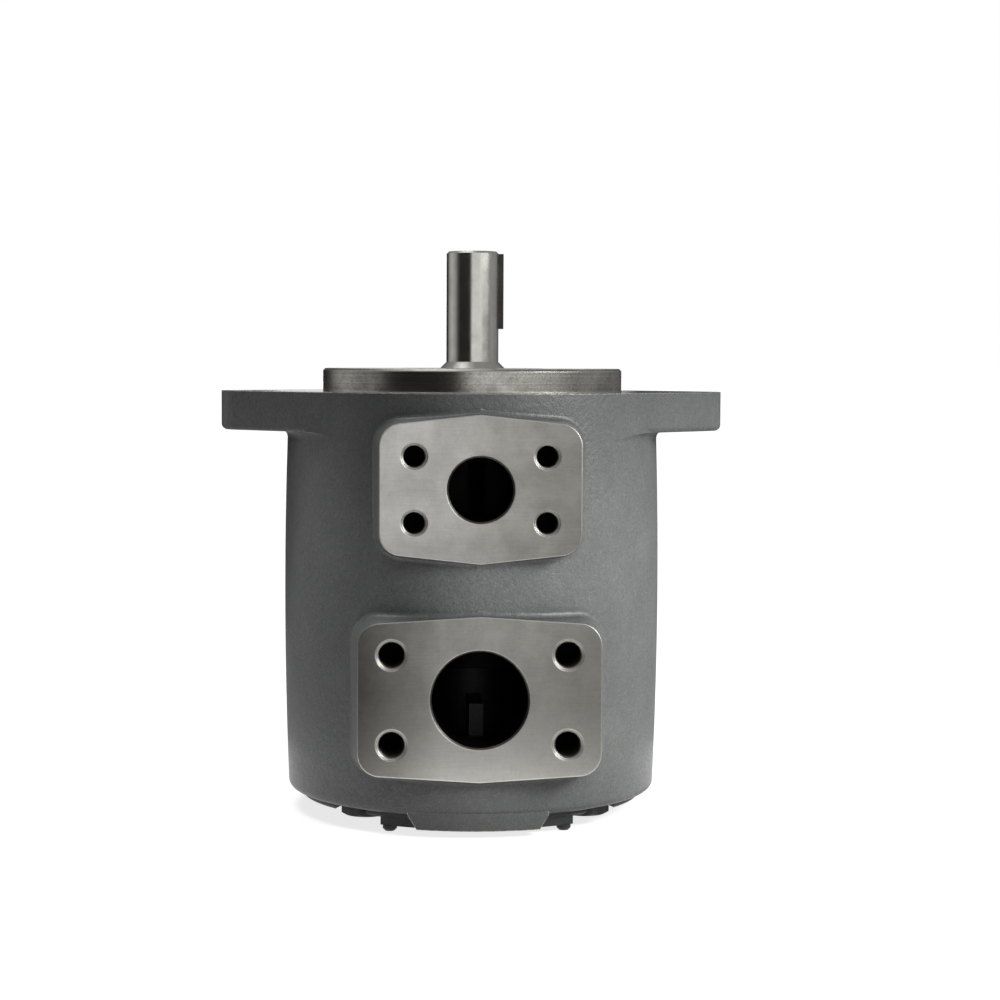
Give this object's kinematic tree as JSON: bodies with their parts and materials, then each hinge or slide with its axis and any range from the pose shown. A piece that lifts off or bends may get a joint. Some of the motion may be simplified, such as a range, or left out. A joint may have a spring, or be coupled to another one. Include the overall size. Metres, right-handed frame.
{
  "type": "hydraulic vane pump",
  "caption": "Single vane pump with a two-bolt piloted flange, keyed shaft, two flanged side ports, and a cam ring, rotor and sliding vanes inside.",
  "frame": {"origin": "centre of the mounting face, on the shaft axis", "axes": "+Z along the shaft to its drive end, ports facing -Y, flange ears along X"},
  "size_m": [0.213, 0.1616, 0.236],
  "materials": {
    "painted_casting": "sand-cast iron under satin grey paint, with bare machined pads, pilot and bores",
    "black_casting": "black cast iron",
    "bolt_steel": "phosphated steel",
    "ground_steel": "ground steel",
    "key_steel": "drawn key steel",
    "bearing_steel": "polished bearing steel",
    "cage_steel": "pressed steel",
    "spring_steel": "oil-blackened spring steel",
    "machined_iron": "machined cast iron",
    "hardened_steel": "hardened and ground steel",
    "seal_rubber": "nitrile rubber",
    "backup_plastic": "PTFE",
    "bronze": "bearing bronze"
  },
  "bodies": {
    "casing": {"housing": "painted_casting", "rear_cover": "black_casting", "cover_bolts": "bolt_steel", "cover_oring": "seal_rubber", "bearing_outer_race": "bearing_steel", "bearing_retaining_ring": "spring_steel", "seal_case": "cage_steel", "seal_lip": "seal_rubber", "seal_garter_spring": "spring_steel", "outlet_plate": "machined_iron", "inlet_plate": "machined_iron", "cam_ring": "hardened_steel", "rear_bush": "bronze", "cartridge_screws": "bolt_steel", "dowel_pins": "hardened_steel", "plate_oring": "seal_rubber", "hub_oring": "seal_rubber", "hub_backup_ring": "backup_plastic", "hold_down_spring": "spring_steel"},
    "drive_shaft": {"shaft": "ground_steel", "shaft_key": "key_steel", "bearing_inner_race": "bearing_steel", "shaft_retaining_ring": "spring_steel", "rotor": "hardened_steel"},
    "bearing_cage": {"bearing_cage": "cage_steel", "bearing_balls": "bearing_steel"},
    "vane_01": {"vane_01": "hardened_steel"},
    "vane_02": {"vane_02": "hardened_steel"},
    "vane_03": {"vane_03": "hardened_steel"},
    "vane_04": {"vane_04": "hardened_steel"},
    "vane_05": {"vane_05": "hardened_steel"},
    "vane_06": {"vane_06": "hardened_steel"},
    "vane_07": {"vane_07": "hardened_steel"},
    "vane_08": {"vane_08": "hardened_steel"},
    "vane_09": {"vane_09": "hardened_steel"},
    "vane_10": {"vane_10": "hardened_steel"},
    "vane_11": {"vane_11": "hardened_steel"},
    "vane_12": {"vane_12": "hardened_steel"}
  },
  "joints": [
    {"name": "shaft_spin", "type": "hinge", "parent": "casing", "child": "drive_shaft", "pos_m": [0, 0, 0], "axis": [0, 0, 1], "continuous": true},
    {"name": "bearing_cage_spin", "type": "hinge", "parent": "casing", "child": "bearing_cage", "pos_m": [0, 0, 0], "axis": [0, 0, 1], "continuous": true},
    {"name": "vane_01_slide", "type": "slide", "parent": "drive_shaft", "child": "vane_01", "axis": [1, 0, 0], "range_m": [-0.0015, 0.0024]},
    {"name": "vane_02_slide", "type": "slide", "parent": "drive_shaft", "child": "vane_02", "axis": [0.866, 0.5, 0], "range_m": [-0.0015, 0.00459]},
    {"name": "vane_03_slide", "type": "slide", "parent": "drive_shaft", "child": "vane_03", "axis": [0.5, 0.866, 0], "range_m": [-0.0015, 0.00459]},
    {"name": "vane_04_slide", "type": "slide", "parent": "drive_shaft", "child": "vane_04", "axis": [0, 1, 0], "range_m": [-0.0015, 0.0024]},
    {"name": "vane_05_slide", "type": "slide", "parent": "drive_shaft", "child": "vane_05", "axis": [-0.5, 0.866, 0], "range_m": [-0.0015, 0.0002]},
    {"name": "vane_06_slide", "type": "slide", "parent": "drive_shaft", "child": "vane_06", "axis": [-0.866, 0.5, 0], "range_m": [-0.0015, 0.0002]},
    {"name": "vane_07_slide", "type": "slide", "parent": "drive_shaft", "child": "vane_07", "axis": [-1, 0, 0], "range_m": [-0.0015, 0.0024]},
    {"name": "vane_08_slide", "type": "slide", "parent": "drive_shaft", "child": "vane_08", "axis": [-0.866, -0.5, 0], "range_m": [-0.0015, 0.00459]},
    {"name": "vane_09_slide", "type": "slide", "parent": "drive_shaft", "child": "vane_09", "axis": [-0.5, -0.866, 0], "range_m": [-0.0015, 0.00459]},
    {"name": "vane_10_slide", "type": "slide", "parent": "drive_shaft", "child": "vane_10", "axis": [0, -1, 0], "range_m": [-0.0015, 0.0024]},
    {"name": "vane_11_slide", "type": "slide", "parent": "drive_shaft", "child": "vane_11", "axis": [0.5, -0.866, 0], "range_m": [-0.0015, 0.0002]},
    {"name": "vane_12_slide", "type": "slide", "parent": "drive_shaft", "child": "vane_12", "axis": [0.866, -0.5, 0], "range_m": [-0.0015, 0.0002]}
  ],
  "couplings": [
    {"joint": "bearing_cage_spin", "follows": "shaft_spin", "ratio": 0.39647}
  ]
}
